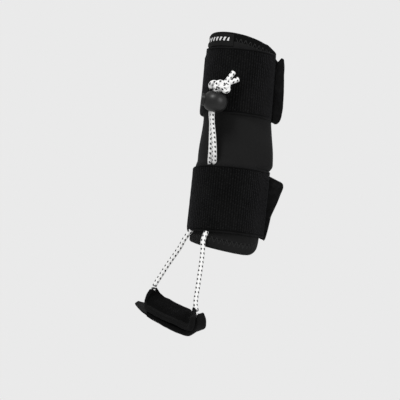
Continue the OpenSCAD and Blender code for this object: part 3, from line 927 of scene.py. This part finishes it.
# Label, sewn on with its ends folded under.
grid_phi, v = np.meshgrid(steps(-45, 30, 60, 0.8), steps(0, 1, 12, 0.04), indexing="ij")
low = np.maximum(top_z(grid_phi) - 11.0, 136.4)
grid_z = low * (1 - v) + (top_z(grid_phi) - 1.6) * v
label = pad("label_plain", on_wall(grid_phi, grid_z, 0.42), 0.5, [LABEL], 0.4, (5, 0.06))
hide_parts("label")
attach(label, "sleeve")

# ---------------------------------------------------------------- straps
# A strap is two webbings, in front and behind. Their ends stand out face to face as a tab at the bearing
# TAB.
TAB = 133.0
RAD = np.array([math.sin(math.radians(TAB)), -math.cos(math.radians(TAB)), 0])
TAN = np.array([math.cos(math.radians(TAB)), math.sin(math.radians(TAB)), 0])
BEND = 8  # columns of the grid between the wall and the tab
# z: its lower edge. inner and outer: the radii that its middle lies between, at the lower and upper edge.
# root: heights of the tab's root. tip: radius where the peeling part starts. edge: the tab's free edge.
STRAPS = {
    "upper": dict(
        z=86.0, inner=(26.05, 24.95), outer=(27.9, 27.2), root=(85.0, 131.6), tip=28.6,
        edge=[(30.2, 84.5), (31.9, 84.5), (33.6, 86.0), (34.9, 89.2), (35.5, 94), (35.45, 104.8),
              (35.2, 110), (34.8, 115), (34.3, 121), (34.0, 127.6), (33.5, 131.2), (32.6, 134.2),
              (31.0, 134.6)]),
    "lower": dict(
        z=-2.3, inner=(26.8, 27.2), outer=(28.4, 29.0), root=(-3.4, 44.5), tip=29.7,
        edge=[(30.5, -4.1), (31.3, -3.2), (32.0, -0.6), (32.8, 3.6), (33.6, 9), (34.4, 14.5),
              (36.3, 20.2), (38.2, 25.6), (40.2, 32.6), (41.5, 37.4), (40.9, 39.9), (38.8, 41.2)]),
}


def strap_line(spec, v, side, phis, lift=None):
    """Mid-surface of a strap and its tab, column by column. side is -1 for the front layer and 1 for the
    back."""
    inner = spec["inner"][0] + (spec["inner"][1] - spec["inner"][0]) * v
    outer = spec["outer"][0] + (spec["outer"][1] - spec["outer"][0]) * v
    r = (inner + outer) / 2
    z = spec["z"] + WEB_WIDTH * v
    is_lower = spec["z"] < 0
    cols = []
    for p in phis:
        up = (lift(p) if lift else 0.0) + (bulge(p) if is_lower else 0.0)
        # The lower strap's top edge dips on the leg's slim side.
        drop = 3.4 * hump(turn_from(p, SLIM_SIDE), 40) * v**3 if is_lower else 0
        cols.append(ring_pt(p, r + up - squeeze(p, z), z - drop))
    edge = smooth_line(spec["edge"], 200)
    run = np.linspace(0, 1, len(edge))
    rho, edge_z = np.interp(v, run, edge[:, 0]), np.interp(v, run, edge[:, 1])
    root_z = spec["root"][0] + (spec["root"][1] - spec["root"][0]) * v
    aside = TAN * (-1.2 if side < 0 else 1.25)
    a = cols[-1] if side < 0 else cols[0]
    corner = RAD * r[:, None] + aside + Z * ((z * 0.5 + root_z * 0.5))[:, None]
    b = RAD * (r + 2.6)[:, None] + aside + Z * root_z[:, None]
    tip = RAD * rho[:, None] + aside + Z * edge_z[:, None]
    tab = [(1 - k) ** 2 * a + 2 * k * (1 - k) * corner + k * k * b for k in np.linspace(0, 1, BEND + 1)[1:]]
    for k in steps(0, 1, 14, 0.03)[1:]:
        wave = 0.35 * np.sin(v * 9 + 1.0) * k
        tab.append(b * (1 - k) + k * tip + TAN * wave[:, None])
    return np.array(cols + tab if side < 0 else tab[::-1] + cols)


def repaint(obj, test):
    """Gives the faces that pass the test the object's second material."""
    for p in obj.data.polygons:
        if test(np.array(p.center) / K):
            p.material_index = 1


def strap_pad(name, mid, v):
    """Webbing, with UVs that run straight along it."""
    du = lengths(mid)[0]
    du = np.repeat(du[:, len(v) // 2: len(v) // 2 + 1], len(v), axis=1)
    dv = np.repeat((WEB_WIDTH * v)[None], mid.shape[0], axis=0)
    return pad(name, mid, WEB_THICK, [WEB, WEB_BACK], 0.8, (5, 0.16, 0.10), 1, (du, dv))


def lap_lift(p):
    """The back webbing steps up where it laps over the front one."""
    return 1.35 * float(smoothstep(p, 286, 295))


front_phis, back_phis = steps(-62, 128.5, 190, 0.5), steps(137.6, 313, 170, 0.5)
strap_v, hook_v = steps(0, 1, 44, 0.012), steps(0.05, 0.95, 24, 0.02)
for which, spec in STRAPS.items():
    front = strap_pad("strap_%s_front" % which, strap_line(spec, strap_v, -1, front_phis), strap_v)
    repaint(front, lambda c: np.dot(c, RAD) > spec["tip"] + 0.2)
    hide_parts(which + "_strap_front", which + "_front_tab")
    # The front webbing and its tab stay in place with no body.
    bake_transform(front)

    back_mid = strap_line(spec, strap_v, 1, back_phis, lap_lift)
    # The lap's free end is cut back at its top corner and rounded at the bottom.
    for i, p in enumerate(back_phis):
        gap = (back_phis[-1] - p) * 0.5
        top = 5.8 * (1 - smoothstep(gap, 0, 9)) + (3.2 if which == "lower" else 0)
        low = 4 - math.sqrt(max(16 - max(4 - gap, 0) ** 2, 0))
        row = len(back_mid) - len(back_phis) + i
        back_mid[row, :, 2] = spec["z"] + low + (WEB_WIDTH - top - low) * strap_v
    back = strap_pad("strap_%s_back" % which, back_mid, strap_v)
    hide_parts(which + "_strap_back", which + "_back_tab")
    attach(back, "sleeve")

    hook_mid = strap_line(spec, hook_v, -1, [128.5])[1 + BEND:-1] + TAN * 1.05
    hook = pad("tab_%s_hook" % which, hook_mid, 0.4, [HOOK], 0.5, (3, 0.03))
    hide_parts(which + "_tab_hook")
    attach(hook, which + "_tab")

# ---------------------------------------------------------------- toe sling


NO_FAN = (99, 100, 0)
SIDE_EDGE = 0.05  # share of the half width taken by a strip's rounded side


def sling_sheet(line, front, back, droop, n, m, curl=0.0, fan=NO_FAN):
    """A strip across the toes: its side line, its width in front and behind, how the front lip droops, how
    the left end curls and how the right end fans out towards the front. Widths are pairs of a share of the
    length and a distance. fan is where along u it starts and is full, and its slope."""
    c = smooth_line([(u, w, 0) for u, w in line], n)
    run = np.linspace(0, 1, n)
    f, b = (np.interp(run, *zip(*w)) for w in (front, back))
    s = steps(-1, 1, m, SIDE_EDGE)
    out = np.zeros((n, len(s), 3))
    for i in range(n):
        y = (b[i] - f[i]) / 2 + (b[i] + f[i]) / 2 * s
        d = droop * smoothstep(-y, 4, 12.5) * (1 - smoothstep(c[i, 1], -5.5, 0))
        u = c[i, 0] + curl * (y / 12.5) ** 2 * (1 - run[i]) ** 3
        k = fan[2] * smoothstep(c[i, 0] + 0.4 * smoothstep(c[i, 1], -5, 5), fan[0], fan[1])
        out[i] = sling_pt(u - k * y, y, c[i, 1] - d)
    return out


# Side lines are (u, w) from left to right.
UPPER = [(-26.0, -0.4), (-25.9, -3.2), (-24.9, -6.2), (-22, -8.3), (-16, -8.6), (-6, -8.6), (4, -8.0),
         (11, -7.0), (16, -6.2), (19, -4.6), (20.3, -2.4), (20.6, -0.2), (20.5, 1.9)]
UPPER_FRONT = [(0, 2.6), (0.04, 4.8), (0.09, 9.0), (0.16, 12.0), (0.22, 12.5), (0.9, 12.5), (1, 11)]
UPPER_BACK = [(0, 2.6), (0.05, 4.4), (0.12, 6.6), (0.22, 8.2), (0.68, 8.2), (0.85, 4.0), (1, 2.5)]
top_mid = sling_sheet(UPPER, UPPER_FRONT, UPPER_BACK, 3.1, 100, 31, 0.8, (9, 18, 1.0))
# The front lip is thicker, where its edge is turned under.
lip = 2.15 - 10.35 * steps(-1, 1, 31, SIDE_EDGE)
top_thick = 3.2 + 1.0 * smoothstep(lip, 9.4, 10.2)
sling_top = pad("sling_pad_upper", top_mid, top_thick, [SLING_LINING, SLING], 1.7, (5, 0.22), 1)
repaint(sling_top, lambda c: np.dot(c - SAT, SY) < -9.6)
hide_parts("sling_upper_layer")
LOWER = [(-19, -14.2), (-6, -14.4), (6, -14.2), (15, -13.6), (23, -12.4), (28.0, -10.8), (30.6, -8.0),
         (31.3, -4.6), (30.9, -1.6), (29.4, 1.4)]
low_mid = sling_sheet(LOWER, [(0, 12.5), (0.8, 12.5), (0.87, 10.5), (0.94, 7.0), (1, 4.0)],
                      [(0, 8.6), (0.55, 8.6), (0.75, 4.5), (0.86, 2.0), (1, 0.6)], 1.8, 90, 27)
sling_low = pad("sling_pad_lower", low_mid, 4.7, [SLING_LINING, SLING], 1.9, (5, 0.22), 1)
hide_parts("sling_lower_layer")
TONGUE = [(-18.4, -12.7), (-22, -12.4), (-26, -11.8), (-29.5, -10.8), (-32.3, -9.6)]
tongue_mid = sling_sheet(TONGUE, [(0, 12.5), (1, 12.5)], [(0, 8.6), (0.22, 2.0), (0.5, -5.2), (1, -9.4)],
                         2.0, 30, 25)
tongue_thick = np.linspace(5.6, 3.4, tongue_mid.shape[0])[:, None]
tongue = pad("sling_tongue_tab", tongue_mid, tongue_thick, [SLING, HOOK], 1.2, (4, 0.15), 1)
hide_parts("sling_tongue")
for o, body in ((sling_top, "sling"), (sling_low, "sling"), (tongue, "tongue")):
    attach(o, body)

# Hook and loop patches between the two layers, in front of the cord and behind it.
c = smooth_line([(-16, -8.6, 0), (-6, -8.6, 0), (4, -7.8, 0), (12, -6.5, 0)], 40)
for name, node, drop, mat, slot in (("sling_hook_tape", "sling_hook_patch", 2.3, HOOK, "hook_fabric"),
                                    ("sling_loop_tape", "sling_loop_patch", 2.85, LOOP, "loop_fabric")):
    both = []
    for y in (steps(-10.15, -2.15, 10, 0.3), steps(2.15, 7.9, 10, 0.3)):
        mid = np.array([sling_pt(p[0], y, p[1] - drop) for p in c])
        both.append(pad("patch", mid, 0.5, [mat], 0.5, (3, 0.03)))
    o = join(name, both)
    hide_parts(node)
    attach(o, "sling")

# ---------------------------------------------------------------- stage


def floor_material(tone=0.8):
    m = Nodes("floor_paper", 0.9, (tone, tone, tone), 0.1)
    m.drive(m.noise(3, 2), [(0.0, tone * 0.995), (1.0, tone)])
    return m


bpy.ops.mesh.primitive_circle_add(vertices=96, radius=1.6, fill_type="NGON", location=(0, 0, -0.32))
floor = bpy.context.object
floor.name = "floor"
floor.data.materials.append(floor_material().mat)

# The camera sees a paler backdrop than the light that falls on the part.
LIGHT, BACKDROP = 0.55, 0.823
world = bpy.data.worlds.new("studio")
bpy.context.scene.world = world
world.use_nodes = True
wt = world.node_tree
sky = wt.nodes["Background"]
sky.inputs[0].default_value = (LIGHT, LIGHT, LIGHT, 1)
sky.inputs[1].default_value = 1.0
seen = wt.nodes.new("ShaderNodeBackground")
seen.inputs[0].default_value = (BACKDROP, BACKDROP, BACKDROP, 1)
path = wt.nodes.new("ShaderNodeLightPath")
blend = wt.nodes.new("ShaderNodeMixShader")
wt.links.new(path.outputs["Is Camera Ray"], blend.inputs[0])
wt.links.new(sky.outputs[0], blend.inputs[1])
wt.links.new(seen.outputs[0], blend.inputs[2])
wt.links.new(blend.outputs[0], wt.nodes["World Output"].inputs[0])


def lamp(name, spot, aim, size, power):
    data = bpy.data.lights.new(name, "AREA")
    data.shape, data.size, data.energy = "DISK", size, power
    o = bpy.data.objects.new(name, data)
    bpy.context.scene.collection.objects.link(o)
    o.location = Vector(spot) * K
    o.rotation_mode = "QUATERNION"
    o.rotation_quaternion = (Vector(aim) - Vector(spot)).to_track_quat("-Z", "Y")


lamp("key", pic(-500, 700, 900), pic(-10, 0, 60), 0.35, 9)
lamp("fill", pic(650, 650, 300), pic(0, 0, 40), 0.6, 4)
bpy.context.scene.view_settings.view_transform = "Standard"
